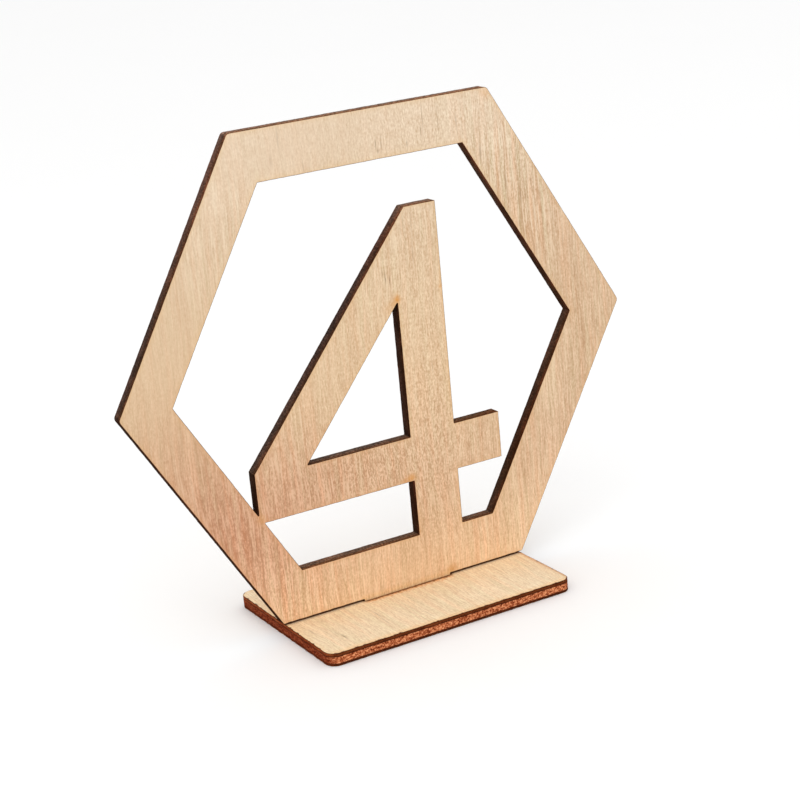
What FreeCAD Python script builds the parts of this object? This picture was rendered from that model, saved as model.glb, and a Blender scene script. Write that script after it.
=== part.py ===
import FreeCAD, Part
import os
import Sketcher

# Table number holder: a hexagonal ring carrying the numeral 4, laser cut from one sheet of
# three-ply plywood, standing on a tab that pushes into a slot in a flat rectangular base cut
# from the same sheet.
#
# Frame, in millimetres: +X to the reader's right, +Y away from the reader, +Z up. The origin is
# the centre of the base's underside, on the panel's middle plane.
#
# Each sheet is five layers: face veneer, glue line, core, glue line, and a thinner backing
# veneer. The grain of the core runs across the grain of the two veneers.

os.makedirs("parts", exist_ok=True)
doc = FreeCAD.newDocument("TableNumberHolder")

# ---------------------------------------------------------------- driving dimensions
# alias, value, note
DRIVING = [
    # sheet
    ("veneer_thick", 0.7, "veneer on the panel's front and on the top of the base"),
    ("backing_thick", 0.45, "veneer on the panel's back and on the underside of the base"),
    ("glue_thick", 0.05, "cured glue line"),
    ("core_thick", 1.55, "core ply"),
    # hexagonal ring, measured from the centre of the hexagon
    ("side_length", 60.0, "side of the outer hexagon"),
    ("ring_band", 10.65, "width of the ring"),
    ("window_shift", -0.75, "sideways offset of the inner hexagon"),
    ("hexagon_gap", 0.5, "gap between the base and the lower side of the true hexagon"),
    ("upper_corner", 1.0, "radius of the upper and side corners"),
    ("foot_corner", 0.35, "radius of the two corners beside the base"),
    # numeral, measured from the centre of the hexagon
    ("stem_left", 4.3, "left side of the stem"),
    ("stem_right", 15.32, "right side of the stem"),
    ("numeral_top", 30.55, "top of the stem"),
    ("flat_left", 7.7, "left end of the stem's top"),
    ("stroke_angle", 50.25, "slope of the slanting stroke, degrees"),
    ("tip_left", -32.7, "left end of the cross bar"),
    ("bar_bottom", -28.87, "underside of the cross bar"),
    ("arm_top", -18.45, "top of the short arm"),
    ("arm_end", 26.63, "right end of the short arm"),
    ("under_bar_inset", 0.2, "extra width of the ring beside the opening under the cross bar"),
    ("counter_bottom", -19.0, "bottom of the triangular counter"),
    ("counter_apex", 10.85, "top of the triangular counter"),
    # tab, slot and base
    ("shoulder_gap", 0.35, "shoulders stand this far above the base"),
    ("tab_width", 21.7, "width of the tab"),
    ("tab_shift", 0.25, "the tab and the slot sit this far right of the middle"),
    ("tab_drop", 2.8, "length of the tab below the shoulders"),
    ("slot_side_gap", 0.08, "slot clearance on each face of the tab"),
    ("slot_end_gap", 0.1, "slot clearance at each end of the tab"),
    ("base_length", 59.3, "base, along X"),
    ("base_depth", 42.4, "base, along Y"),
    ("base_corner", 2.4, "corner radius of the base"),
]

# Worked out in the sheet from the rows above; a level is a height above the base's underside.
# alias, formula, note
DERIVED = [
    ("sheet_thick", "=veneer_thick + 2*glue_thick + core_thick + backing_thick", "whole sheet"),
    ("apothem", "=side_length*sqrt(3)/2", "centre to side of the outer hexagon"),
    ("shoulder_level", "=sheet_thick + shoulder_gap", "shoulders beside the tab"),
    ("centre_level", "=sheet_thick + hexagon_gap + apothem", "centre of the hexagon"),
    ("tab_left", "=tab_shift - tab_width/2", "left end of the tab"),
    ("tab_right", "=tab_shift + tab_width/2", "right end of the tab"),
    # inner hexagon
    ("inner_apothem", "=apothem - ring_band", "centre to side"),
    ("inner_side", "=inner_apothem*2/sqrt(3)", "side"),
    ("inner_left", "=window_shift - inner_side", "left corner"),
    ("inner_right", "=window_shift + inner_side", "right corner"),
    ("inner_flat_left", "=window_shift - inner_side/2", "left end of the level sides"),
    ("inner_flat_right", "=window_shift + inner_side/2", "right end of the level sides"),
    ("inner_top_level", "=centre_level + inner_apothem", "upper side"),
    ("inner_low_level", "=centre_level - inner_apothem", "lower side"),
    # numeral
    ("stroke_slope", "=tan(stroke_angle * 1 deg)", "rise over run of the slanting stroke"),
    ("stem_level", "=centre_level + numeral_top", "top of the stem"),
    ("arm_level", "=centre_level + arm_top", "top of the short arm"),
    ("bar_level", "=centre_level + bar_bottom", "underside of the cross bar"),
    ("counter_level", "=centre_level + counter_bottom", "bottom of the counter"),
    ("apex_level", "=centre_level + counter_apex", "top of the counter"),
    # slot
    ("slot_left", "=tab_left - slot_end_gap", "left end of the slot"),
    ("slot_right", "=tab_right + slot_end_gap", "right end of the slot"),
    ("slot_half", "=sheet_thick/2 + slot_side_gap", "half the slot's width"),
]

sheet = doc.addObject("Spreadsheet::Sheet", "Params")
for row, (alias, content, note) in enumerate(DRIVING + DERIVED, start=1):
    sheet.set(f"A{row}", alias)
    sheet.set(f"B{row}", str(content))
    sheet.set(f"C{row}", note)
    sheet.setAlias(f"B{row}", alias)
doc.recompute()


class SheetReferences:
    """dim.side_length is the text "Params.side_length", ready for use in an expression."""

    def __getattr__(self, alias):
        return "Params." + alias


dim = SheetReferences()

# ---------------------------------------------------------------- outlines of the panel
# Each point is a pair of expressions: x, z. Points that share a coordinate share its text.

# ring with its tab, anticlockwise from the tab's lower left corner
RING = [
    (dim.tab_left, f"({dim.shoulder_level} - {dim.tab_drop})"),
    (dim.tab_right, f"({dim.shoulder_level} - {dim.tab_drop})"),
    (dim.tab_right, dim.shoulder_level),
    (f"{dim.side_length}/2", dim.shoulder_level),
    (dim.side_length, dim.centre_level),
    (f"{dim.side_length}/2", f"({dim.centre_level} + {dim.apothem})"),
    (f"-{dim.side_length}/2", f"({dim.centre_level} + {dim.apothem})"),
    (f"-{dim.side_length}", dim.centre_level),
    (f"-{dim.side_length}/2", dim.shoulder_level),
    (dim.tab_left, dim.shoulder_level),
]
UPPER_CORNERS = RING[4:8]
FOOT_CORNERS = [RING[3], RING[8]]

# opening round the numeral: it stops at the neck where the cross bar's tip meets the ring, and
# at the foot of the stem
WINDOW_MAIN = [
    (dim.tip_left, f"({dim.centre_level} - ({dim.tip_left} - {dim.inner_left})*sqrt(3))"),
    (dim.tip_left, f"({dim.stem_level} - ({dim.flat_left} - {dim.tip_left})*{dim.stroke_slope})"),
    (dim.flat_left, dim.stem_level),
    (dim.stem_right, dim.stem_level),
    (dim.stem_right, dim.arm_level),
    (dim.arm_end, dim.arm_level),
    (dim.arm_end, dim.bar_level),
    (dim.stem_right, dim.bar_level),
    (dim.stem_right, dim.inner_low_level),
    (dim.inner_flat_right, dim.inner_low_level),
    (dim.inner_right, dim.centre_level),
    (dim.inner_flat_right, dim.inner_top_level),
    (dim.inner_flat_left, dim.inner_top_level),
    (dim.inner_left, dim.centre_level),
]

# opening under the cross bar, left of the stem
INSET_ALONG_X = f"{dim.under_bar_inset}*2/sqrt(3)"
WINDOW_UNDER_BAR = [
    (
        f"({dim.inner_left} + ({dim.centre_level} - {dim.bar_level})/sqrt(3) + {INSET_ALONG_X})",
        dim.bar_level,
    ),
    (dim.stem_left, dim.bar_level),
    (dim.stem_left, dim.inner_low_level),
    (f"({dim.inner_flat_left} + {INSET_ALONG_X})", dim.inner_low_level),
]

# triangular counter of the numeral
COUNTER_RISE = f"({dim.counter_apex} - {dim.counter_bottom})"
WINDOW_COUNTER = [
    (f"({dim.stem_left} - {COUNTER_RISE}/{dim.stroke_slope})", dim.counter_level),
    (dim.stem_left, dim.counter_level),
    (dim.stem_left, dim.apex_level),
]


# ---------------------------------------------------------------- outlines of the base
def rectangle(left, right, near, far):
    """Corners of a rectangle as x, y expressions, anticlockwise from the near left one."""
    return [(left, near), (right, near), (right, far), (left, far)]


PLATE = rectangle(
    f"-{dim.base_length}/2", f"{dim.base_length}/2", f"-{dim.base_depth}/2", f"{dim.base_depth}/2"
)
SLOT = rectangle(dim.slot_left, dim.slot_right, f"-{dim.slot_half}", dim.slot_half)


# ---------------------------------------------------------------- sketches
def value_of(expression):
    """The number that an expression over the sheet gives now."""
    result = sheet.evalExpression(expression)
    # the result is either a plain number or a quantity
    return float(result.Value) if hasattr(result, "Value") else float(result)


def draw_loop(sketch, points):
    """Closed loop of lines. Level and upright lines are constrained as such; every other
    coordinate is a distance from the sketch's origin, bound to the sheet."""
    count = len(points)
    first = sketch.GeometryCount
    places = [(value_of(x), value_of(y)) for x, y in points]
    for i in range(count):
        begin = FreeCAD.Vector(*places[i], 0)
        end = FreeCAD.Vector(*places[(i + 1) % count], 0)
        sketch.addGeometry(Part.LineSegment(begin, end), False)
    for i in range(count):
        following = first + (i + 1) % count
        sketch.addConstraint(Sketcher.Constraint("Coincident", first + i, 2, following, 1))

    # The closing line ends on point 0, which keeps its distance; the last point takes the
    # constraint instead.
    fixed_x, fixed_y = set(), set()
    for i in range(1, count + 1):
        before, here = points[i - 1], points[i % count]
        vertex = min(i, count - 1)
        line = first + i - 1
        if before[1] == here[1] and vertex not in fixed_y:
            sketch.addConstraint(Sketcher.Constraint("Horizontal", line))
            fixed_y.add(vertex)
        if before[0] == here[0] and vertex not in fixed_x:
            sketch.addConstraint(Sketcher.Constraint("Vertical", line))
            fixed_x.add(vertex)

    for i in range(count):
        for k, (kind, fixed) in enumerate([("DistanceX", fixed_x), ("DistanceY", fixed_y)]):
            if i not in fixed:
                distance = Sketcher.Constraint(kind, -1, 1, first + i, 1, places[i][k])
                index = sketch.addConstraint(distance)
                sketch.setExpression(f"Constraints[{index}]", points[i][k])


def new_sketch(body, name, plane, level, loops):
    """Sketch of closed loops, level away from an origin plane along its normal."""
    sketch = body.newObject("Sketcher::SketchObject", name)
    origin_plane = [f for f in body.Origin.OriginFeatures if f.Role == plane][0]
    sketch.AttachmentSupport = [(origin_plane, "")]
    sketch.MapMode = "FlatFace"
    sketch.setExpression("AttachmentOffset.Base.z", level)
    for points in loops:
        draw_loop(sketch, points)
    doc.recompute()
    return sketch


# ---------------------------------------------------------------- layers
def corner_edges(shape, corners, plane):
    """Names of the edges square to the plane that pass through these corners."""
    if plane == "XZ_Plane":
        axis = FreeCAD.Vector(0, 1, 0)
        places = [FreeCAD.Vector(value_of(x), 0, value_of(z)) for x, z in corners]
    else:
        axis = FreeCAD.Vector(0, 0, 1)
        places = [FreeCAD.Vector(value_of(x), value_of(y), 0) for x, y in corners]
    names = []
    for k, edge in enumerate(shape.Edges, start=1):
        if not isinstance(edge.Curve, Part.Line) or abs(edge.Curve.Direction.dot(axis)) < 0.999:
            continue
        for place in places:
            away = edge.CenterOfMass - place
            if (away - axis * away.dot(axis)).Length < 1e-3:
                names.append(f"Edge{k}")
    if len(names) != len(corners):
        raise RuntimeError(f"found {len(names)} of {len(corners)} corner edges")
    return names


def build_layer(node, plane, level, thickness, outline, corner_groups, openings):
    """One layer of a sheet: padded outline, rounded corners, openings cut through it."""
    body = doc.addObject("PartDesign::Body", node)
    body.Label = node
    pad = body.newObject("PartDesign::Pad", node + "_pad")
    pad.Profile = new_sketch(body, node + "_outline", plane, level, [outline])
    pad.setExpression("Length", thickness)
    doc.recompute()
    body.Tip = pad

    last = pad
    for k, (radius, corners) in enumerate(corner_groups, start=1):
        fillet = body.newObject("PartDesign::Fillet", f"{node}_corners_{k}")
        fillet.Base = (last, corner_edges(last.Shape, corners, plane))
        fillet.setExpression("Radius", radius)
        doc.recompute()
        body.Tip = fillet
        last = fillet

    pocket = body.newObject("PartDesign::Pocket", node + "_openings")
    pocket.Profile = new_sketch(body, node + "_opening_lines", plane, level, openings)
    pocket.Type = "ThroughAll"
    pocket.Reversed = True  # cuts the same way as the pad grows
    doc.recompute()
    body.Tip = pocket
    doc.recompute()
    return body


def build_sheet(names, plane, start, outline, corner_groups, openings):
    """Five layers stacked along the plane's normal, backing first, from the start level."""
    thicknesses = [
        dim.backing_thick, dim.glue_thick, dim.core_thick, dim.glue_thick, dim.veneer_thick
    ]
    bodies = []
    level = start
    for name, thickness in zip(names, thicknesses):
        bodies.append(
            build_layer(name, plane, level, thickness, outline, corner_groups, openings)
        )
        level = f"{level} + {thickness}"
    return bodies


# The XZ plane's normal is -Y, so the panel is stacked towards the reader from its rear face.
panel = build_sheet(
    names=[
        "panel_back_veneer", "panel_back_glue_line", "panel_core_ply",
        "panel_front_glue_line", "panel_front_veneer",
    ],
    plane="XZ_Plane",
    start=f"-{dim.sheet_thick}/2",
    outline=RING,
    corner_groups=[(dim.upper_corner, UPPER_CORNERS), (dim.foot_corner, FOOT_CORNERS)],
    openings=[WINDOW_MAIN, WINDOW_UNDER_BAR, WINDOW_COUNTER],
)
base = build_sheet(
    names=[
        "base_bottom_veneer", "base_lower_glue_line", "base_core_ply",
        "base_upper_glue_line", "base_top_veneer",
    ],
    plane="XY_Plane",
    start="0",
    outline=PLATE,
    corner_groups=[(dim.base_corner, PLATE)],
    openings=[SLOT],
)

# ---------------------------------------------------------------- export
doc.recompute()
for obj in doc.Objects:
    if "Invalid" in obj.State or "Error" in obj.State:
        raise RuntimeError(f"{obj.Label} is {obj.State}")
for body in panel + base:
    shape = body.Shape
    if shape.isNull() or not shape.isValid() or len(shape.Solids) != 1:
        raise RuntimeError(body.Label + " has no single valid solid")
for body in panel + base:
    body.Shape.exportStep(os.path.join("parts", body.Label + ".step"))
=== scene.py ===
"""A laser-cut plywood table number: an upright panel (outline in X and Z, front face towards -Y)
on a flat base plate (outline in X and Y, top face up).

Every ply of the CAD model is rebuilt as a finely meshed layer on the same outline, with softened
arrises, charred and slightly uneven kerf walls, torn core fibres and a scorched halo along each
cut. Lengths are in mm until they become mesh coordinates.
"""
import math
from collections import namedtuple
from itertools import product

import bpy
import numpy as np
from mathutils import Matrix, Vector
from mathutils.geometry import delaunay_2d_cdt
from mathutils.kdtree import KDTree


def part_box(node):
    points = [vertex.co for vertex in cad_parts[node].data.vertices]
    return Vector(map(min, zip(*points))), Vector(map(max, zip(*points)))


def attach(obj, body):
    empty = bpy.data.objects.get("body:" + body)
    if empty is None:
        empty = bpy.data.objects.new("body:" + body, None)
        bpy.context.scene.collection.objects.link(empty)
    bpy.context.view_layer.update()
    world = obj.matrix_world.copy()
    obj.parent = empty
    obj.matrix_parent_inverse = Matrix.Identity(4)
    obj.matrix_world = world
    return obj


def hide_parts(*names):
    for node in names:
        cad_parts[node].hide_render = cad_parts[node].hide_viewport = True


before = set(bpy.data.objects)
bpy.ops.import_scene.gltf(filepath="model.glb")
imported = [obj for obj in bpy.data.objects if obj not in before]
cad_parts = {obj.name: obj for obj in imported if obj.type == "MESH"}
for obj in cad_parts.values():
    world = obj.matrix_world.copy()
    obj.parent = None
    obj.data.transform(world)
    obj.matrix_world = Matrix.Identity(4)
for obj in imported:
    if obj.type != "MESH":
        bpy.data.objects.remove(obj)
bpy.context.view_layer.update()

MM = 0.001
SHEET_THICKNESS = 2.8
CORNER_RADIUS = 0.12  # at the sharp corners of an outline
ARRIS_RADIUS = 0.09  # where a face meets its kerf wall
ARC_STEP = 0.16  # longest step along a true arc
PANEL_STEP, BASE_STEP = 0.24, 0.15  # longest step along the outlines
JOINT_X = 0.25  # middle, along X, of the scorched stretch where panel and plate meet

# Rows of face points that follow the outline: distance from it, spacing of the points
FACE_BANDS = [(0.14, 0.22), (0.32, 0.34), (0.62, 0.5), (1.0, 0.7), (1.5, 0.9)]
FACE_GRID = (0.9, 1.4)  # spacing of the face points farther in
GRID_MARGIN = 1.9  # the grid keeps this far from the outline


# ------------------------------------------------------------------ deterministic noise
def lattice_value(x, y, z, seed):
    """A fixed random value in [-1, 1] for each whole-numbered lattice point."""
    mixed = (x * 374761393 + y * 668265263 + z * 1440662683 + seed * 974634777) & 0xFFFFFFFF
    mixed = ((mixed ^ (mixed >> 13)) * 1274126177) & 0xFFFFFFFF
    mixed = (mixed ^ (mixed >> 16)) & 0xFFFFFFFF
    return mixed / 2147483647.5 - 1.0


def outline_noise(points, size, level, seed):
    """Smooth noise in [-1, 1] at outline points, with cells of the given size, on one level."""
    where = np.c_[points / size, np.full(len(points), level)]
    cell = np.floor(where).astype(np.int64)
    part = where - cell
    ease = part * part * part * (part * (part * 6 - 15) + 10)
    total = np.zeros(len(points))
    for corner in product((0, 1), repeat=3):
        side = np.where(corner, ease, 1 - ease)
        weight = side[:, 0] * side[:, 1] * side[:, 2]
        total += weight * lattice_value(*(cell + corner).T, seed)
    return total


# ------------------------------------------------------------------ outlines from the CAD plies
def signed_area(loop):
    x, y = loop[:, 0], loop[:, 1]
    return 0.5 * float(np.sum(x * np.roll(y, -1) - np.roll(x, -1) * y))


def cad_loops(node, axis, high):
    """Outline loops, in mm, of a node's flat face at the high or low end of an axis.

    Material is on the left; the outer loop comes first.
    """
    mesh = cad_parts[node].data
    corners = np.array([v.co for v in mesh.vertices]).reshape(-1, 3) / MM
    level = corners[:, axis].max() if high else corners[:, axis].min()
    merged = {}
    index = [merged.setdefault(tuple(p), len(merged)) for p in np.round(corners, 3)]
    points = list(merged)
    edges = set()
    for poly in mesh.polygons:
        ring = [index[i] for i in poly.vertices]
        if all(abs(points[i][axis] - level) < 2e-3 for i in ring):
            for start, end in zip(ring, ring[1:] + ring[:1]):
                # an edge shared by two polygons is not on the outline
                if (end, start) in edges:
                    edges.discard((end, start))
                else:
                    edges.add((start, end))
    follow = dict(edges)
    across, up = [k for k in range(3) if k != axis]
    loops = []
    while follow:
        start, at = next(iter(follow.items()))
        loop = [start]
        del follow[start]
        while at != start:
            loop.append(at)
            at = follow.pop(at)
        loops.append(np.array([[points[i][across], points[i][up]] for i in loop]))
    loops.sort(key=lambda loop: -abs(signed_area(loop)))
    if signed_area(loops[0]) < 0:
        loops = [loop[::-1] for loop in loops]
    # a fixed starting point and order, so that every run is the same
    loops = [np.roll(p, -int(np.lexsort((p[:, 1], p[:, 0]))[0]), axis=0) for p in loops]
    holes = sorted(loops[1:], key=lambda p: (round(float(p[0][0]), 2), round(float(p[0][1]), 2)))
    return [loops[0]] + holes


def turn_angles(loop):
    before = loop - np.roll(loop, 1, axis=0)
    after = np.roll(loop, -1, axis=0) - loop
    cross = before[:, 0] * after[:, 1] - before[:, 1] * after[:, 0]
    return np.arctan2(cross, (before * after).sum(1))


def arc(center, radius, first, last, parts):
    """Points on an arc from first to last; parts(sweep) gives the number of segments."""
    start = math.atan2(first[1] - center[1], first[0] - center[0])
    end = math.atan2(last[1] - center[1], last[0] - center[0])
    sweep = (end - start + math.pi) % (2 * math.pi) - math.pi
    angle = start + sweep * np.linspace(0, 1, parts(abs(sweep)) + 1)
    return np.c_[center[0] + radius * np.cos(angle), center[1] + radius * np.sin(angle)]


def fitted_arc(run, step):
    """The least-squares circle through a run of facets."""
    fit = np.linalg.lstsq(np.c_[2 * run, np.ones(len(run))], (run**2).sum(1), rcond=None)[0]
    center = fit[:2]
    radius = math.sqrt(max(fit[2] + center @ center, 1e-9))

    def parts(sweep):
        by_length = int(math.ceil(sweep * radius / min(step, ARC_STEP)))
        return max(4, by_length, int(sweep / math.radians(12)))

    return arc(center, radius, run[0], run[-1], parts)


def rounded_corner(before, here, after, turn):
    to_before = (before - here) / np.linalg.norm(before - here)
    to_after = (after - here) / np.linalg.norm(after - here)
    half = abs(turn) / 2
    cut = CORNER_RADIUS * math.tan(half)
    middle = (to_before + to_after) / np.linalg.norm(to_before + to_after)
    center = here + middle * (CORNER_RADIUS / math.cos(half))
    return arc(center, CORNER_RADIUS, here + to_before * cut, here + to_after * cut,
               lambda sweep: max(3, int(round(sweep / math.radians(20)))))


def refine_loop(loop, step):
    """The outline with true arcs for facets, tiny radii at sharp corners and even points."""
    loop = loop[np.linalg.norm(loop - np.roll(loop, 1, axis=0), axis=1) > 1e-4]
    turns = turn_angles(loop)
    bends = ~(np.abs(turns) < math.radians(0.2))
    loop, turns = loop[bends], turns[bends]
    count = len(loop)
    soft = np.abs(turns) < math.radians(36)
    long_before = np.linalg.norm(loop - np.roll(loop, 1, axis=0), axis=1) > 1.3
    # start after a long side, so that no arc straddles the start
    first = next(i for i in range(count) if long_before[i])
    loop = np.roll(loop, -first, axis=0)
    turns, soft, long_before = (np.roll(a, -first) for a in (turns, soft, long_before))
    pieces = []
    i = 0
    while i < count:
        j = i
        if soft[i]:
            while j + 1 < count and soft[j + 1] and not long_before[j + 1]:
                j += 1
            run = loop[i : j + 1]
            pieces.append(fitted_arc(run, step) if len(run) >= 3 else run)
        else:
            pieces.append(rounded_corner(loop[i - 1], loop[i], loop[(i + 1) % count], turns[i]))
        i = j + 1
    points = []
    for piece, following in zip(pieces, pieces[1:] + pieces[:1]):
        points.extend(piece)
        start, end = piece[-1], following[0]
        parts = int(math.ceil(np.linalg.norm(end - start) / step))
        for k in range(1, parts):
            points.append(start + (end - start) * k / parts)
    return np.array(points)


class Sheet:
    """One plywood sheet's cut outline, meshed once and shared by its plies.

    Depth is measured from the first face, at the low end of the axis where sign is 1 and at the
    high end where it is -1.
    """

    def __init__(self, first_node, axis, sign, step, ragged_below=-math.inf):
        self.axis, self.sign = axis, sign
        high = sign < 0
        self.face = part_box(first_node)[1 if high else 0][axis] / MM
        rings = [refine_loop(loop, step) for loop in cad_loops(first_node, axis, high)]
        self.xy = np.concatenate(rings)
        count = len(self.xy)
        self.following = np.empty(count, int)
        self.normal = np.empty((count, 2))
        at = 0
        for ring in rings:
            index = np.arange(at, at + len(ring))
            self.following[index] = np.roll(index, -1)
            normals = []
            for side in (ring - np.roll(ring, 1, axis=0), np.roll(ring, -1, axis=0) - ring):
                length = np.linalg.norm(side, axis=1)
                normals.append(np.c_[side[:, 1], -side[:, 0]] / length[:, None])
            outward = normals[0] + normals[1]
            self.normal[index] = outward / np.linalg.norm(outward, axis=1)[:, None]
            at += len(ring)
        self.tree = KDTree(count)
        for i, (x, y) in enumerate(self.xy):
            self.tree.insert((x, y, 0), i)
        self.tree.balance()
        self.inner = self._interior_points()
        self.face_tris = self._triangulate(np.concatenate([self.xy, self.inner]))
        self.cap_tris = self._triangulate(self.xy)
        self.inner_edge = np.array([self._edge_distance(x, y) for x, y in self.inner])
        self.wobble = (0.6 * outline_noise(self.xy, 1.15, 0, seed=11)
                       + 0.4 * outline_noise(self.xy, 0.5, 0, seed=12))
        self.wobble *= 1.0 + 2.0 * np.clip(ragged_below - self.xy[:, 1], 0.0, 1.0)

    def place(self, points, depth):
        """Mesh coordinates, in metres, of outline points at a depth."""
        columns = [points[:, 0], points[:, 1]]
        columns.insert(self.axis, self.face + self.sign * depth)
        return np.column_stack(columns) * MM

    def depth_range(self, node):
        low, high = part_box(node)
        ends = [(end[self.axis] / MM - self.face) * self.sign for end in (low, high)]
        return round(min(ends), 4), round(max(ends), 4)

    def _edge_distance(self, x, y):
        return self.tree.find((x, y, 0))[2]

    def _interior_points(self):
        taken, points = set(), []
        for distance, gap in FACE_BANDS:
            spacing = gap * 0.86
            shifted = self.xy - self.normal * distance
            for x, y in shifted[self._inside(shifted)]:
                cell = (math.floor(x / spacing), math.floor(y / spacing), distance)
                if cell not in taken and self._edge_distance(x, y) > distance * 0.93:
                    taken.add(cell)
                    points.append((x, y))
        low, high = self.xy.min(0), self.xy.max(0)
        gap_x, gap_y = FACE_GRID
        grid = []
        for j in range(int((high[1] - low[1]) / gap_y) + 1):
            for i in range(int((high[0] - low[0]) / gap_x) + 1):
                grid.append((low[0] + (i + 0.5 * (j % 2)) * gap_x, low[1] + (j + 0.5) * gap_y))
        grid = np.array(grid)
        for x, y in grid[self._inside(grid)]:
            if self._edge_distance(x, y) > GRID_MARGIN:
                points.append((x, y))
        return np.array(points)

    def _inside(self, points):
        """Even-odd test against the whole outline, in batches to save memory."""
        start, end = self.xy, self.xy[self.following]
        rise = end[:, 1] - start[:, 1]
        rise = np.where(np.abs(rise) < 1e-12, 1e-12, rise)
        slope = (end[:, 0] - start[:, 0]) / rise
        result = np.zeros(len(points), bool)
        batch = 1500
        for k in range(0, len(points), batch):
            x, y = points[k : k + batch, 0][:, None], points[k : k + batch, 1][:, None]
            crosses = (start[None, :, 1] > y) != (end[None, :, 1] > y)
            at = start[None, :, 0] + (y - start[None, :, 1]) * slope[None, :]
            result[k : k + batch] = ((crosses & (x < at)).sum(1) % 2) == 1
        return result

    def _triangulate(self, points):
        edges = list(enumerate(self.following.tolist()))
        vectors = [Vector((float(x), float(y))) for x, y in points]
        _, _, faces, origins, _, _ = delaunay_2d_cdt(vectors, edges, [], 0, 1e-7, True)
        source = [found[0] if len(found) else -1 for found in origins]
        tris = np.array([[source[i] for i in face] for face in faces if len(face) == 3])
        tris = tris[(tris >= 0).all(1)]
        corner = points[tris]
        side, other = corner[:, 1] - corner[:, 0], corner[:, 2] - corner[:, 0]
        doubled_area = side[:, 0] * other[:, 1] - other[:, 0] * side[:, 1]
        tris[doubled_area < 0] = tris[doubled_area < 0][:, ::-1]
        return tris[self._inside(corner.mean(1)) & (np.abs(doubled_area) > 1e-9)]


# ------------------------------------------------------------------ plies
# How one kind of ply is cut. row_gap is the spacing of rows through it; wobble, striation, tear
# and set_back shape its kerf wall, in mm; grain is the fibres' direction in the sheet.
Cut = namedtuple("Cut", "slot material row_gap wobble striation tear set_back grain")


def wall_rows(start, end, gap, round_start, round_end):
    """Depths of the rows through one ply and how far each is drawn in for the arris."""
    def arris(edge, inward, angles):
        return [(edge + inward * (ARRIS_RADIUS * (1 - math.cos(math.radians(angle)))),
                 ARRIS_RADIUS * (1 - math.sin(math.radians(angle)))) for angle in angles]

    head = arris(start, 1, (0, 30, 60)) if round_start else []
    tail = arris(end, -1, (60, 30, 0)) if round_end else []
    if round_start:
        start += ARRIS_RADIUS
    if round_end:
        end -= ARRIS_RADIUS
    count = max(1, int(round((end - start) / gap)))
    middle = [(start + (end - start) * k / count, 0.0) for k in range(count + 1)]
    return head + middle + tail


def wall_offset(sheet, cut, seed, depth, drawn_in, end_grain):
    """How far the kerf wall stands out from the outline at one depth."""
    lag = 0.25 * (depth / SHEET_THICKNESS) ** 2  # the striations bend back with depth
    striation = outline_noise(sheet.xy + lag, 0.42, depth / 4.0, seed=21)
    torn = (0.6 * outline_noise(sheet.xy, 0.34, depth / 0.22, seed)
            + 0.4 * outline_noise(sheet.xy, 0.17, depth / 0.12, seed + 1))
    offset = (cut.wobble * sheet.wobble + cut.striation * striation
              + cut.tear * np.minimum(torn, 0.25) * (1 - 0.55 * end_grain)
              - cut.set_back - drawn_in - 0.008 * depth)
    return np.minimum(offset, 0.02 - drawn_in)


def build_ply(sheet, body, node, cut, seed, first_face, last_face):
    """One ply as a closed mesh; a face material is given where the ply shows a sheet's face."""
    start, end = sheet.depth_range(node)
    rows = wall_rows(start, end, cut.row_gap, bool(first_face), bool(last_face))
    end_grain = np.abs(sheet.normal @ np.array(cut.grain, float))
    count = len(sheet.xy)
    points, depths, grains, edges = [], [], [], []
    for depth, drawn_in in rows:
        offset = wall_offset(sheet, cut, seed, depth, drawn_in, end_grain)
        points.append(sheet.xy + sheet.normal * offset[:, None])
        depths.append(np.full(count, depth))
        grains.append(end_grain)
        edges.append(np.zeros(count))
    polys = []
    here, beside = np.arange(count), sheet.following
    for k in range(len(rows) - 1):
        top, below = k * count, (k + 1) * count
        polys += np.c_[top + here, below + here, below + beside, top + beside].tolist()
    material_index = [1] * len(polys)
    for row, face, winding in ((0, first_face, 1), (len(rows) - 1, last_face, -1)):
        tris = sheet.face_tris if face else sheet.cap_tris
        inner_start = sum(map(len, points))
        if face:
            points.append(sheet.inner)
            depths.append(np.full(len(sheet.inner), rows[row][0]))
            grains.append(np.zeros(len(sheet.inner)))
            edges.append(sheet.inner_edge)
        tris = np.where(tris < count, tris + row * count, tris - count + inner_start)
        polys += tris[:, ::winding].tolist()
        material_index += [0 if face else 1] * len(tris)
    depths = np.concatenate(depths)
    mesh = bpy.data.meshes.new("ply_" + node)
    mesh.from_pydata(sheet.place(np.concatenate(points), depths).tolist(), [], polys)
    mesh.polygons.foreach_set("material_index", material_index)
    mesh.polygons.foreach_set("use_smooth", [True] * len(polys))
    for name, values in (("edge_mm", np.concatenate(edges)),
                         ("end_grain", np.concatenate(grains)), ("depth_mm", depths)):
        attribute = mesh.attributes.new(name, "FLOAT", "POINT")
        attribute.data.foreach_set("value", values.astype(np.float32))
    mesh.update(calc_edges=True)
    mesh.set_sharp_from_angle(angle=math.radians(48))
    ply = bpy.data.objects.new(node + "_finish", mesh)
    bpy.context.scene.collection.objects.link(ply)
    mesh.materials.append(first_face or last_face or cut.material)
    mesh.materials.append(cut.material)
    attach(ply, body)
    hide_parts(node)


def build_stack(sheet, body, plies, first_seed, first_face, last_face):
    """All plies of a sheet in order of depth; the outermost two show its faces."""
    last = len(plies) - 1
    for k, (node, cut) in enumerate(plies):
        build_ply(sheet, body, node, cut, first_seed + k,
                  first_face if k == 0 else None, last_face if k == last else None)


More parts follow.
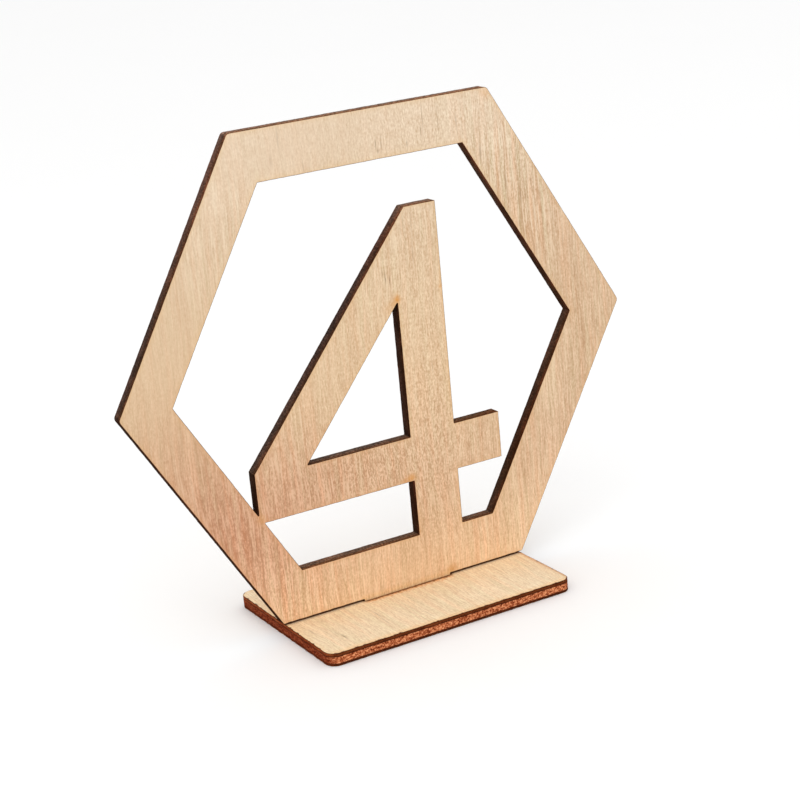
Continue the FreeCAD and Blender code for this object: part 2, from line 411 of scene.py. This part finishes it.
# ------------------------------------------------------------------ shader graph helpers
class Value:
    """A shader socket that takes arithmetic; every operation adds a Math node."""

    def __init__(self, graph, socket):
        self.graph, self.socket = graph, socket

    def __add__(self, other):
        return self.graph.maths("ADD", self, other)

    def __radd__(self, other):
        return self.graph.maths("ADD", other, self)

    def __sub__(self, other):
        return self.graph.maths("SUBTRACT", self, other)

    def __rsub__(self, other):
        return self.graph.maths("SUBTRACT", other, self)

    def __mul__(self, other):
        return self.graph.maths("MULTIPLY", self, other)

    def __truediv__(self, other):
        return self.graph.maths("DIVIDE", self, other)

    def __pow__(self, other):
        return self.graph.maths("POWER", self, other)

    def __rpow__(self, other):
        return self.graph.maths("POWER", other, self)

    def __abs__(self):
        return self.graph.maths("ABSOLUTE", self, 0.0)

    def clamped(self):
        """Limit the last operation to 0..1."""
        self.socket.node.use_clamp = True
        return self

    def swing(self, amount):
        """Noise of 0..1 turned into a swing to either side of zero."""
        return (self - 0.5) * amount

    def remap(self, span, to=(0.0, 1.0), kind="LINEAR"):
        ins = {"Value": self, "From Min": span[0], "From Max": span[1],
               "To Min": to[0], "To Max": to[1]}
        return self.graph.value("ShaderNodeMapRange", ins, interpolation_type=kind, clamp=True)

    def smooth(self, span, to=(0.0, 1.0)):
        return self.remap(span, to, "SMOOTHSTEP")

    def towards(self, amount, color):
        return self.graph.mix(amount, self, color)

    def tinted(self, tint):
        """This colour multiplied by a red, green, blue tint."""
        return self.graph.mix(1.0, self, (*tint, 1), "MULTIPLY")

    def stained(self, amount, tint):
        return self.towards(amount, self.tinted(tint))


class Graph:
    def __init__(self, name):
        self.material = bpy.data.materials.new(name)
        self.material.use_nodes = True
        self.tree = self.material.node_tree
        self.tree.nodes.clear()

    def add(self, kind, ins=None, **props):
        node = self.tree.nodes.new(kind)
        for key, setting in props.items():
            setattr(node, key, setting)
        for key, given in (ins or {}).items():
            if isinstance(given, Value):
                self.tree.links.new(given.socket, node.inputs[key])
            else:
                node.inputs[key].default_value = given
        return node

    def value(self, kind, ins=None, output=0, **props):
        return Value(self, self.add(kind, ins, **props).outputs[output])

    def maths(self, operation, first, second):
        return self.value("ShaderNodeMath", {0: first, 1: second}, operation=operation)

    def noise(self, vector, detail, rough, scale=1.0, distortion=0.0):
        ins = {"Vector": vector, "Scale": scale, "Detail": detail, "Roughness": rough,
               "Distortion": distortion}
        return self.value("ShaderNodeTexNoise", ins)

    def mix(self, amount, first, second, blend="MIX"):
        return self.value("ShaderNodeMix", {0: amount, 6: first, 7: second}, output=2,
                          data_type="RGBA", blend_type=blend)

    def attribute(self, name):
        return self.value("ShaderNodeAttribute", output="Fac", attribute_name=name)

    def xyz(self, x, y, z):
        return self.value("ShaderNodeCombineXYZ", {0: x, 1: y, 2: z})

    def scaled(self, vector, factors):
        return self.value("ShaderNodeVectorMath", {0: vector, 1: factors}, operation="MULTIPLY")

    def millimetres(self):
        """The point in mm, on the piece itself, so that the figure moves with it."""
        return self.scaled(self.value("ShaderNodeTexCoord", output="Object"), (1000,) * 3)

    def split(self, vector):
        node = self.add("ShaderNodeSeparateXYZ", {0: vector})
        return [Value(self, node.outputs[k]) for k in range(3)]

    def facing_up(self):
        """How far the surface faces up the piece's own Z, 0 to 1."""
        normal = self.value("ShaderNodeTexCoord", output="Normal")
        return self.split(normal)[2].remap((0.0, 1.0))

    def bump(self, height, strength, distance):
        ins = {"Strength": strength, "Distance": distance, "Height": height}
        return self.value("ShaderNodeBump", ins)

    def finish(self, color, rough, specular, normal=None):
        ins = {"Base Color": color, "Roughness": rough, "Specular IOR Level": specular}
        if normal is not None:
            ins["Normal"] = normal
        shader = self.value("ShaderNodeBsdfPrincipled", ins)
        self.add("ShaderNodeOutputMaterial", {"Surface": shader})
        return self.material


def bell(across, up, mid_across, mid_up, reach_across, reach_up):
    """1 at the middle, falling off like a bell."""
    side = (across - mid_across) / reach_across
    rise = (up - mid_up) / reach_up
    return math.e ** ((side * side + rise * rise) * -0.5)


def lin(rgb):
    """Linear colour from sRGB values of 0 to 255."""
    shares = [c / 255.0 for c in rgb]
    return (*(c / 12.92 if c <= 0.04045 else ((c + 0.055) / 1.055) ** 2.4 for c in shares), 1.0)


# Share of a white card's brightness that a face gets, to turn seen into surface colours
FACE_LIGHT = 1.05
BASE_LIGHT = 0.96


def surface(rgb, light=FACE_LIGHT):
    return (*(min(c / light, 0.92) for c in lin(rgb)[:3]), 1.0)


def height_ramp(graph, z, stops, interpolation):
    """Colour by height in mm."""
    low, high = stops[0][0], stops[-1][0]
    color = graph.value("ShaderNodeValToRGB", {0: z.remap((low, high))})
    ramp = color.socket.node.color_ramp
    ramp.interpolation = interpolation
    while len(ramp.elements) < len(stops):
        ramp.elements.new(0.5)
    for element, (height, _) in zip(ramp.elements, stops):
        element.position = (height - low) / (high - low)
    for element, (_, rgb) in zip(ramp.elements, stops):
        element.color = surface(rgb)
    return color


# ------------------------------------------------------------------ face veneers
# Noise layers of the wood figure: cells per mm across and along the grain, shift of the
# pattern, detail, roughness
FIGURE = {
    "bend": (0.05, 0.028, 0.0, 1.0, 0.4),
    "wave": (0.4, 0.09, 3.0, 1.0, 0.5),
    "broad": (0.42, 0.012, 7.0, 1.0, 0.5),
    "streak": (1.15, 0.03, 11.0, 2.0, 0.65),
    "fine": (2.7, 0.11, 17.0, 1.0, 0.6),
    "dot": (3.1, 1.6, 19.0, 2.0, 0.6),
    "dash": (3.3, 0.5, 21.0, 2.0, 0.6),
    "cloud": (0.07, 0.022, 23.0, 2.0, 0.5),
    "hue": (0.75, 0.035, 27.0, 2.0, 0.6),
    "ray": (2.2, 0.12, 31.0, 1.0, 0.4),
    "line": (3.4, 0.16, 37.0, 1.0, 0.4),
}


def veneer(name, along, offset, tint, contrast, halo, pores, spots=(), hairs=(), painted_contact_shade=False):
    """Sanded face veneer; its grain runs along Y or Z and across X.

    tint(graph, x, y, z) gives the board's colour and the liveliness of its streaks and its
    grain; contrast weighs the noise layers. halo holds the reach and strength of the glow along
    the cuts, the strength of their dark rim and the unevenness of that rim. spots and hairs are
    rows of scorch marks and dark hairlines; the last flag adds painted shade, darkening the face
    where another part stands close over it.
    """
    graph = Graph(name)
    x, y, z = graph.split(graph.millimetres())
    length = {"y": y, "z": z}[along]

    def figure(layer, across):
        wide, long, shift, detail, rough = FIGURE[layer]
        vector = graph.xyz(across * wide, length * long, offset + shift)
        return graph.noise(vector, detail, rough)

    def mottle(cells):
        vector = graph.xyz(x * cells, y * cells, z * cells)
        return graph.noise(vector, detail=2.0, rough=0.6)

    # the fibres wander a little
    across = x + figure("bend", x).swing(2.2)
    across = across + figure("wave", x).swing(0.7)
    broad, streak, fine, dot, dash = (
        figure(layer, across) for layer in ("broad", "streak", "fine", "dot", "dash"))
    speck = dot * 0.62 + dash * 0.62 - 0.12
    cloud = figure("cloud", x)
    hue = figure("hue", across)
    base, busy, grainy = tint(graph, x, y, z)
    tone = (broad.swing(contrast["broad"]) + streak.swing(contrast["streak"])
            + fine.swing(contrast["fine"]))
    tone = tone * busy + speck.swing(contrast["speck"]) * grainy
    tone = (tone + cloud.swing(contrast["cloud"])).remap((-1.0, 1.0))
    color = graph.mix(tone, base.tinted((0.76, 0.67, 0.58)), base.tinted((1.18, 1.25, 1.34)))
    # the hue swings to a warmer and to a greener side
    warm = hue.remap((0.36, 0.64), to=(-1.0, 1.0))
    for side, hue_tint in ((0.55, (1.03, 0.93, 0.87)), (-0.55, (0.95, 1.01, 0.97))):
        color = color.stained(((warm * side).clamped() * busy).clamped(), hue_tint)
    # pale rays and dark vessel lines
    ray = figure("ray", across).remap((0.60, 0.72))
    ray = (ray * graph.maths("MULTIPLY", busy, 0.75)).clamped()
    color = color.towards(ray, base.tinted((1.14, 1.22, 1.30)))
    line = figure("line", across).remap((0.64, 0.76))
    line = (line * graph.maths("MULTIPLY", busy, pores)).clamped()
    color = color.towards(line, base.tinted((0.62, 0.48, 0.38)))
    for *place, strength in hairs:
        hair = bell(x, length, *place)
        hair = (hair * dot.remap((0.35, 0.6), to=(0.5 * strength, 1.6 * strength))).clamped()
        color = color.towards(hair, base.tinted((0.22, 0.14, 0.08)))
    # a soft scorched glow along the cuts, then a thin dark rim
    edge = graph.attribute("edge_mm")
    reach = mottle(0.35).remap((0.3, 0.7), to=(0.55, 1.45)) * halo["reach"]
    glow = math.e ** (edge * -1.0 / reach)
    color = color.towards(glow * halo["glow"], base.tinted((0.97, 0.86, 0.66)))
    nib = mottle(2.2)
    bite = mottle(0.8)
    uneven = nib.swing(0.25) + bite.swing(halo["bite"])
    rim = (edge - uneven).smooth((0.0, 0.18), to=(1.0, 0.0))
    color = color.towards(rim * halo["rim"], lin((104, 56, 28)))
    for *place, strength in spots:
        spot = bell(x, length, *place) * strength * nib.remap((0.25, 0.7), to=(0.6, 1.25))
        color = color.towards((spot * 1.0).clamped(), lin((208, 142, 64)))
    if painted_contact_shade:
        # painted shade: the face is darkened to a deep brown where another part stands close over
        # it, by ambient occlusion
        opening = graph.value("ShaderNodeAmbientOcclusion", {"Distance": 0.0022}, output="AO",
                              samples=12)
        color = color.towards(opening.smooth((0.16, 0.82), to=(1.0, 0.0)), lin((120, 60, 12)))
    height = fine * 0.6 + speck * 0.4 - line * 0.5
    bump = graph.bump(height, strength=0.35, distance=0.00003)
    rough = fine.remap((0.3, 0.7), to=(0.56, 0.7))
    return graph.finish(color, rough, specular=0.35, normal=bump)


# Colour of the panel's two faces by height. The front's ramp is partly painted light: it is
# lighter at the very foot to offset the shade near the plate, and darker and pinker low down as a
# painted warm bounce; the rest is the wood's own tone.
FRONT_RAMP = [(0, (246, 207, 164)), (8, (239, 199, 157)), (20, (224, 188, 151)),
              (32, (219, 184, 148)), (50, (223, 192, 154)), (70, (222, 192, 156)),
              (88, (223, 197, 165)), (107, (230, 207, 179))]
BACK_RAMP = [(0, (226, 192, 152)), (55, (224, 193, 157)), (107, (230, 203, 170))]

# Broad clouds of tone on the front: x, z, reach in x and z, red, green, blue, extra streaks,
# extra grain
PANEL_CLOUDS = [
    # The first cloud, darker and pinker at the lower left, is partly painted warm bounce light
    # and partly the wood's tone.
    (-40, 24, 14, 15, 0.87, 0.70, 0.67, 0.40, 0.5),
    (-16, 31, 12, 8, 0.93, 0.86, 0.84, 0.35, 0.8),
    (-5, 31, 8, 6, 1.0, 1.0, 1.0, 0.2, 1.1),
    (54, 62, 16, 26, 0.93, 0.90, 0.91, 0.1, 0.1),
    (36, 86, 9, 9, 0.97, 0.95, 0.93, 0.8, 0.5),
    (-46, 68, 16, 20, 0.98, 0.97, 0.97, -0.5, -0.6),
    (-51, 47, 9, 9, 0.94, 0.89, 0.87, 0.1, 0.0),
    (-14, 103, 20, 7, 1.0, 1.0, 1.0, -0.72, -0.45),
    (15, 102, 14, 7, 1.0, 1.0, 1.0, -0.5, 0.35),
    (11, 60, 6, 22, 1.0, 1.0, 1.0, -0.5, 0.25),
    (10, 19, 7, 7, 0.975, 0.955, 0.945, 0.0, 0.2),
    (-27, 8, 7, 8, 1.01, 1.02, 1.03, 0.45, 0.3),
    (-53, 56, 6, 9, 1.0, 1.01, 1.01, -0.4, 0.0),
    (-36, 18, 7, 9, 1.0, 1.0, 1.0, 0.1, 0.2),
    (0, 8, 10, 5, 1.0, 1.0, 1.0, -0.35, -0.2),
    (-31, 31, 4, 6, 1.03, 1.05, 1.05, 0.0, 0.0),
    (-12, 18.5, 12, 4, 0.965, 0.925, 0.92, 0.1, 0.2),
    (23, 18, 7, 4, 0.97, 0.98, 0.975, 0.0, 0.0),
    (45, 37, 7, 10, 1.015, 1.03, 1.045, 0.0, 0.0),
    (-12, 54, 8, 9, 1.0, 1.0, 1.0, -0.5, 0.0),
    (10, 36, 8, 12, 0.99, 0.98, 0.97, 0.0, 0.8),
]

# Scorch marks: x, z, reach in x and z, strength
FRONT_SPOTS = [
    (4.2, 66.7, 0.55, 0.75, 0.85), (3.1, 65.9, 0.8, 0.6, 0.3), (2.0, 64.9, 0.7, 0.7, 0.15),
    (11.6, 4.0, 1.0, 0.8, 0.6), (-32.2, 27.2, 0.7, 0.8, 0.4), (3.7, 27.3, 0.75, 0.6, 0.75),
    (2.2, 26.9, 0.9, 0.4, 0.35), (14.9, 67.4, 0.3, 0.3, 0.5), (29.5, 106.0, 0.9, 0.9, 0.3),
]
BACK_SPOTS = [(4.0, 66.5, 0.5, 0.7, 0.6)]

# Dark hairlines, in the same columns (the base's second column is y)
FRONT_HAIRS = [
    (14.0, 103.6, 0.08, 2.2, 0.30), (13.4, 100.6, 0.08, 0.7, 0.40), (9.9, 98.6, 0.09, 0.35, 0.45),
    (2.6, 99.8, 0.08, 0.6, 0.45), (3.9, 99.6, 0.08, 1.3, 0.30), (3.0, 98.2, 0.14, 0.3, 0.35),
    (17.6, 102.5, 0.07, 1.8, 0.22), (-19.2, 105.0, 0.12, 1.6, 0.20),
    (-21.2, 100.2, 0.25, 1.0, 0.16), (-14.2, 97.8, 0.12, 0.9, 0.20),
    (22.0, 101.3, 0.09, 0.9, 0.30), (27.3, 94.0, 0.16, 1.2, 0.30), (1.9, 71.8, 0.08, 0.9, 0.55),
    (2.9, 71.0, 0.09, 0.8, 0.50), (1.3, 72.9, 0.07, 0.5, 0.40), (9.2, 83.0, 0.07, 3.0, 0.22),
    (8.9, 75.5, 0.07, 1.6, 0.28), (7.2, 82.8, 0.07, 1.2, 0.25), (10.8, 58.0, 0.08, 0.9, 0.22),
    (11.2, 50.5, 0.07, 1.0, 0.25), (33.0, 86.5, 0.10, 1.4, 0.28), (36.5, 83.0, 0.09, 1.0, 0.28),
    (39.5, 78.0, 0.09, 1.6, 0.22),
]
BASE_HAIRS = [
    (-27.0, -8.0, 0.10, 0.9, 0.30), (-22.8, -14.8, 0.11, 1.0, 0.50),
    (-23.3, -12.2, 0.08, 0.9, 0.26), (-12.0, -9.5, 0.09, 1.1, 0.34),
    (-12.3, -13.5, 0.08, 1.4, 0.26), (-3.5, -16.5, 0.08, 1.1, 0.18),
    (7.5, -9.0, 0.08, 1.3, 0.18), (19.0, -12.0, 0.08, 1.2, 0.15),
]


def front_tint(graph, x, y, z):
    base = height_ramp(graph, z, FRONT_RAMP, "B_SPLINE")
    busy, grainy = 1.0, 1.0
    for *place, red, green, blue, more_streaks, more_grain in PANEL_CLOUDS:
        cloud = bell(x, z, *place)
        base = base.stained(cloud, (red, green, blue))
        busy = busy + cloud * more_streaks
        grainy = grainy + cloud * more_grain
    # warmer at the foot, over the joint
    warm = z.smooth((3.0, 4.6), to=(1.0, 0.0))
    warm = warm * abs(x - JOINT_X).remap((10.9, 12.0), to=(1.0, 0.0))
    return base.stained(warm, (1.09, 1.04, 0.88)), busy, grainy


def back_tint(graph, x, y, z):
    return height_ramp(graph, z, BACK_RAMP, "EASE"), 1.0, 1.0


def base_tint(graph, x, y, z):
    away = abs(y)
    base = graph.mix(away.smooth((2.0, 14.0), to=(1.0, 0.0)),
                     surface((237, 214, 179), BASE_LIGHT), surface((238, 212, 173), BASE_LIGHT))
    ragged = graph.noise(graph.xyz(x * 1.1, y * 1.1, 0.0), detail=3.0, rough=0.6)
    bead = graph.noise(graph.xyz(x * 0.9, 0.0, 0.0), detail=2.0, rough=0.6)
    # a ragged scorch to both sides of the joint
    along = (abs(x - JOINT_X) + ragged * 1.2).smooth((10.4, 12.4), to=(1.0, 0.0))
    reach = ragged.remap((0.3, 0.7), to=(2.0, 3.6))
    scorch = (1.0 - (away / reach).smooth((0.7, 1.3))) * along
    base = base.towards(scorch * 0.68, surface((222, 144, 68)))
    # a dark lip close to the joint
    width = bead.remap((0.3, 0.7), to=(2.05, 2.85))
    lip = (away + ragged * 0.3 - width).smooth((-0.35, 0.25), to=(1.0, 0.0)) * along
    base = base.towards(lip * 0.88, surface((112, 60, 18)))
    # a browned rim at the +X end
    rim = (x + ragged * 0.5).smooth((28.7, 29.9), to=(0.0, 0.62))
    base = base.towards(rim, surface((186, 102, 34)))
    # a fairer patch, and warmth along the front edge
    fair = bell(x, y, mid_across=23.0, mid_up=-17.0, reach_across=7.0, reach_up=4.0)
    base = base.stained(fair, (1.0, 1.025, 1.05))
    base = base.stained(y.smooth((-20.9, -19.4), to=(0.75, 0.0)), (1.03, 0.89, 0.74))
    return base, 0.8, 0.9


def under_tint(graph, x, y, z):
    base = graph.value("ShaderNodeRGB")
    base.socket.default_value = surface((226, 192, 150))
    return base, 1.1, 1.1


HIDDEN_CONTRAST = dict(broad=1.4, streak=2.2, fine=2.0, speck=2.0, cloud=0.7)

front_wood = veneer(
    "panel_front_wood", "z", 5.0, front_tint,
    contrast=dict(broad=1.2, streak=1.85, fine=2.0, speck=4.0, cloud=0.5),
    halo=dict(reach=0.42, glow=0.75, rim=0.3, bite=0.1), pores=0.45,
    spots=FRONT_SPOTS, hairs=FRONT_HAIRS)
back_wood = veneer(
    "panel_back_wood", "z", 61.0, back_tint, contrast=HIDDEN_CONTRAST,
    halo=dict(reach=0.6, glow=0.9, rim=0.4, bite=0.2), pores=0.45, spots=BACK_SPOTS)
top_wood = veneer(
    "base_top_wood", "y", 97.0, base_tint,
    contrast=dict(broad=0.8, streak=1.3, fine=1.6, speck=3.9, cloud=0.3),
    halo=dict(reach=0.5, glow=0.8, rim=1.0, bite=1.7), pores=0.35,
    hairs=BASE_HAIRS, painted_contact_shade=True)
under_wood = veneer(
    "base_under_wood", "y", 131.0, under_tint, contrast=HIDDEN_CONTRAST,
    halo=dict(reach=0.7, glow=1.0, rim=0.6, bite=0.4), pores=0.45)


# ------------------------------------------------------------------ cut walls
# How the char differs from place to place on the panel: x, z, reach in x and z, red, green, blue
CHAR_CLOUDS = [
    (36, 38, 14, 16, 0.80, 0.74, 0.70), (22, 22, 8, 3, 0.84, 0.94, 0.92),
    # the narrow pale blue-grey bands along z 87 and z 108 are painted highlight on up-facing top
    # edges
    (10, 87, 9, 2.4, 1.32, 1.54, 1.74), (0, 108, 44, 2.0, 1.25, 1.5, 1.7),
    (-54, 66, 8, 15, 0.72, 0.82, 0.96), (-36, 98, 9, 11, 1.04, 1.10, 1.26),
    (-10, 66, 9, 11, 0.60, 0.68, 0.78), (-28, 46, 7, 9, 0.80, 0.88, 1.00),
    (-8, 36, 12, 2.5, 0.84, 0.92, 1.0), (30, 28, 9, 12, 0.84, 0.70, 0.60),
    (4.3, 20, 3, 6, 0.92, 0.84, 0.80), (-12, 62, 14, 18, 0.90, 0.86, 0.90),
    (22, 37, 5, 2, 0.94, 0.92, 0.84), (1.5, 78, 4, 5, 0.80, 0.74, 0.76),
]

# Dark seams through the base plate: depth, half width, strength
SEAMS = [(0.0, 0.10, 0.85), (0.72, 0.12, 0.8), (2.33, 0.12, 0.8), (2.58, 0.2, 0.45),
         (SHEET_THICKNESS, 0.08, 0.7)]


def char_wall(name, low, top, blotch, blotches, flake, shift):
    """Charred wall of the panel: low is its tone where it faces sideways, top where it faces up.

    blotch is the tone of its patches and blotches their strength; flake is the strength of the
    light flecks and shift moves the ridges' pattern. The paler top tone is painted light: walls
    that face up are drawn lighter and greyer, with livelier flecks, as if lit from above.
    """
    graph = Graph(name)
    point = graph.millimetres()
    x, y, z = graph.split(point)
    # painted light: the more a wall faces up, the paler its colour and patches and the livelier
    # its flecks
    up = graph.facing_up() ** 1.7
    color = graph.mix(up, lin(low), lin(top))
    patch = graph.noise(graph.scaled(point, (0.22, 0.5, 0.22)), detail=3.0, rough=0.6,
                        distortion=0.3)
    patch = (patch + z.remap((55.0, 100.0), to=(0.0, 0.16))).remap((0.45, 0.72)) * blotches
    color = color.towards(patch, graph.mix(up, lin(blotch), lin((132, 88, 64))))
    for *place, red, green, blue in CHAR_CLOUDS:
        color = color.stained(bell(x, z, *place), (red, green, blue))
    # warmer near the front face, paler and cooler towards the back
    through = graph.attribute("depth_mm").remap((0.2, 2.6))
    color = graph.mix(through, color.tinted((0.97, 0.86, 0.72)), color.tinted((1.0, 1.16, 1.42)))
    grit = graph.noise(point, detail=3.0, rough=0.65, scale=3.0)
    ridge = graph.noise(graph.xyz(x * 2.8, y * 0.9 + shift, z * 2.8), detail=2.0, rough=0.6)
    tone = ridge.swing(1.3) + grit.swing(1.6)
    # painted light: flecks stand out more on walls that face up
    painted_top_light = up.remap((0.0, 0.8), to=(0.85, 1.7))
    light = (tone.remap((0.0, 0.7)) * flake * painted_top_light).clamped()
    color = color.stained(light, (2.5, 2.35, 2.1))
    dark = (tone.remap((0.0, -0.7)) * painted_top_light).clamped()
    color = color.stained(dark, (0.30, 0.28, 0.27))
    bump = graph.bump(ridge * 0.5 + grit * 0.5, strength=0.5, distance=0.00008)
    return graph.finish(color, rough=0.9, specular=0.0, normal=bump)


def kerf_wall(name, side, end, speck, lines, grit_scale, contrast, specular,
              rough=(0.6, 0.85), pit=(0.30, 0.24, 0.22), seams=()):
    """Laser-cut wall of the base plate.

    side and end are its colours where the fibres run along the cut and where they are cut
    across, speck a lighter tone where char has flaked, pit the tint of the dark pits. lines
    scales the figure along X, Y and Z, per mm; contrast weighs its lines and its grit.
    """
    graph = Graph(name)
    point = graph.millimetres()
    x, y, z = graph.split(point)
    end_grain = graph.attribute("end_grain")
    streak = graph.xyz(x * lines[0], y * lines[1], z * lines[2])
    wide = graph.scaled(streak, (0.09,) * 3)
    grit = graph.noise(point, detail=3.0, rough=0.65, scale=grit_scale)
    lined = graph.noise(streak, detail=3.0, rough=0.6)
    patch = graph.noise(wide, detail=3.0, rough=0.55)
    ends = (end_grain.remap((0.25, 0.95)) + patch.swing(1.0)).clamped()
    color = graph.mix(ends, lin(side), lin(end))
    tone = lined.swing(contrast[0]) + grit.swing(contrast[1])
    light = tone.remap((0.0, 0.6))
    dark = tone.remap((0.0, -0.6))
    color = color.towards(light * ends.remap((0.0, 1.0), to=(1.0, 0.18)), lin(speck))
    color = color.stained(dark, pit)
    if seams:
        depth = graph.attribute("depth_mm")
    for seam_depth, half, strength in seams:
        away = abs(depth + grit.swing(0.12) - seam_depth)
        seam = away.smooth((half * 0.4, half * 1.6), to=(strength, 0.0))
        color = color.towards(seam, lin((58, 24, 10)))
    bump = graph.bump(lined * 0.5 + grit * 0.5, strength=0.5, distance=0.00008)
    return graph.finish(color, grit.remap((0.3, 0.7), to=rough), specular, normal=bump)


panel_veneer_char = char_wall("panel_veneer_char", low=(50, 30, 19), top=(96, 65, 45),
                              blotch=(100, 58, 42), blotches=0.75, flake=0.8, shift=0.0)
panel_core_char = char_wall("panel_core_char", low=(49, 31, 21), top=(94, 71, 56),
                            blotch=(84, 56, 43), blotches=0.6, flake=1.0, shift=5.0)
panel_glue_char = char_wall("panel_glue_char", low=(34, 20, 12), top=(60, 40, 28),
                            blotch=(50, 30, 20), blotches=0.3, flake=0.5, shift=9.0)
base_veneer_char = kerf_wall(
    "base_veneer_char", side=(134, 59, 28), end=(98, 46, 21), speck=(168, 100, 58),
    lines=(0.5, 0.5, 3.2), grit_scale=3.2, contrast=(2.2, 1.8), specular=0.02, seams=SEAMS)
base_core_fibres = kerf_wall(
    "base_core_fibres", side=(178, 95, 57), end=(122, 46, 17), speck=(236, 160, 112),
    lines=(1.4, 1.4, 3.6), grit_scale=2.8, contrast=(3.0, 3.6), specular=0.04,
    rough=(0.7, 0.9), pit=(0.30, 0.18, 0.12), seams=SEAMS)
base_glue_char = kerf_wall(
    "base_glue_char", side=(64, 26, 11), end=(58, 24, 10), speck=(96, 44, 22),
    lines=(0.5, 0.5, 3.2), grit_scale=3.2, contrast=(1.4, 1.4), specular=0.02)


# ------------------------------------------------------------------ the two sheets
# The panel's lower edge, burnt twice where it meets the plate, is the most ragged.
panel = Sheet("panel_front_veneer", axis=1, sign=1, step=PANEL_STEP, ragged_below=4.6)
plate = Sheet("base_top_veneer", axis=2, sign=-1, step=BASE_STEP)

# Columns as in Cut: slot, material, row gap, wobble, striation, tear, set-back, grain
ALONG, ACROSS = (0, 1), (1, 0)
panel_veneer = Cut("panel_face_veneer", panel_veneer_char, 0.17, 0.03, 0.012, 0.01, 0.0, ALONG)
panel_glue = Cut("glue_line", panel_glue_char, 0.06, 0.03, 0.012, 0.0, 0.012, ALONG)
panel_core = Cut("panel_core_ply", panel_core_char, 0.2, 0.03, 0.014, 0.03, 0.008, ACROSS)
base_veneer = Cut("base_face_veneer", base_veneer_char, 0.1, 0.06, 0.016, 0.02, 0.0, ALONG)
base_glue = Cut("glue_line", base_glue_char, 0.06, 0.06, 0.016, 0.0, 0.02, ALONG)
base_core = Cut("base_core_ply", base_core_fibres, 0.1, 0.06, 0.016, 0.07, 0.0, ACROSS)

build_stack(panel, "panel", [
    ("panel_front_veneer", panel_veneer),
    ("panel_front_glue_line", panel_glue),
    ("panel_core_ply", panel_core),
    ("panel_back_glue_line", panel_glue),
    ("panel_back_veneer", panel_veneer),
], first_seed=40, first_face=front_wood, last_face=back_wood)
build_stack(plate, "base", [
    ("base_top_veneer", base_veneer),
    ("base_upper_glue_line", base_glue),
    ("base_core_ply", base_core),
    ("base_lower_glue_line", base_glue),
    ("base_bottom_veneer", base_veneer),
], first_seed=50, first_face=top_wood, last_face=under_wood)


# ------------------------------------------------------------------ stage, light and camera
def build_floor(half=6, drop=0.0001):
    """A square floor, in metres, a hair below the plate."""
    mesh = bpy.data.meshes.new("floor")
    corners = [(-half, -half, 0), (half, -half, 0), (half, half, 0), (-half, half, 0)]
    mesh.from_pydata(corners, [], [(0, 1, 2, 3)])
    floor = bpy.data.objects.new("floor", mesh)
    floor.location = (0, 0, -drop)
    scene.collection.objects.link(floor)
    graph = Graph("pale_floor")
    soft = graph.noise(graph.millimetres(), detail=2.0, rough=0.5, scale=0.004)
    color = graph.mix(soft, (0.955, 0.955, 0.952, 1), (0.97, 0.97, 0.97, 1))
    mesh.materials.append(graph.finish(color, rough=0.8, specular=0.1))


def build_world(strength=0.98):
    world = bpy.data.worlds.new("studio")
    scene.world = world
    world.use_nodes = True
    background = world.node_tree.nodes["Background"]
    background.inputs["Color"].default_value = (1, 1, 1, 1)
    background.inputs["Strength"].default_value = strength


def build_key_light(place=(-0.55, -0.8, 1.1), target=(0, 0, 0.05), size=0.9, power=4.0):
    """A round softbox in front of the panel, to the left and above."""
    light = bpy.data.lights.new("key", "AREA")
    light.shape = "DISK"
    light.size = size
    light.energy = power
    lamp = bpy.data.objects.new("key", light)
    lamp.location = place
    aim = Vector(target) - Vector(place)
    lamp.rotation_euler = aim.to_track_quat("-Z", "Y").to_euler()
    scene.collection.objects.link(lamp)


# The camera stands in front and to the left, looking slightly down, tilted a little. Columns:
# its right, up and backward directions, its place in metres.
CAMERA_PLACE = Matrix((
    (0.861853, 0.224935, -0.454548, -0.187191),
    (-0.499033, 0.216340, -0.839144, -0.351978),
    (-0.090416, 0.950053, 0.298703, 0.169734),
    (0.0, 0.0, 0.0, 1.0),
))


def build_camera():
    lens = bpy.data.cameras.new("camera")
    lens.sensor_width = 36.0
    lens.lens = 88.99
    lens.clip_start = 0.01
    lens.shift_x = -0.0003
    lens.shift_y = 0.0004
    camera = bpy.data.objects.new("camera", lens)
    camera.matrix_world = CAMERA_PLACE
    scene.collection.objects.link(camera)
    scene.camera = camera


scene = bpy.context.scene
scene.view_settings.view_transform = "Standard"
scene.view_settings.look = "None"
scene.view_settings.exposure = 0.0
scene.view_settings.gamma = 1.0

build_floor()
build_world()
build_key_light()
build_camera()

bpy.context.view_layer.update()
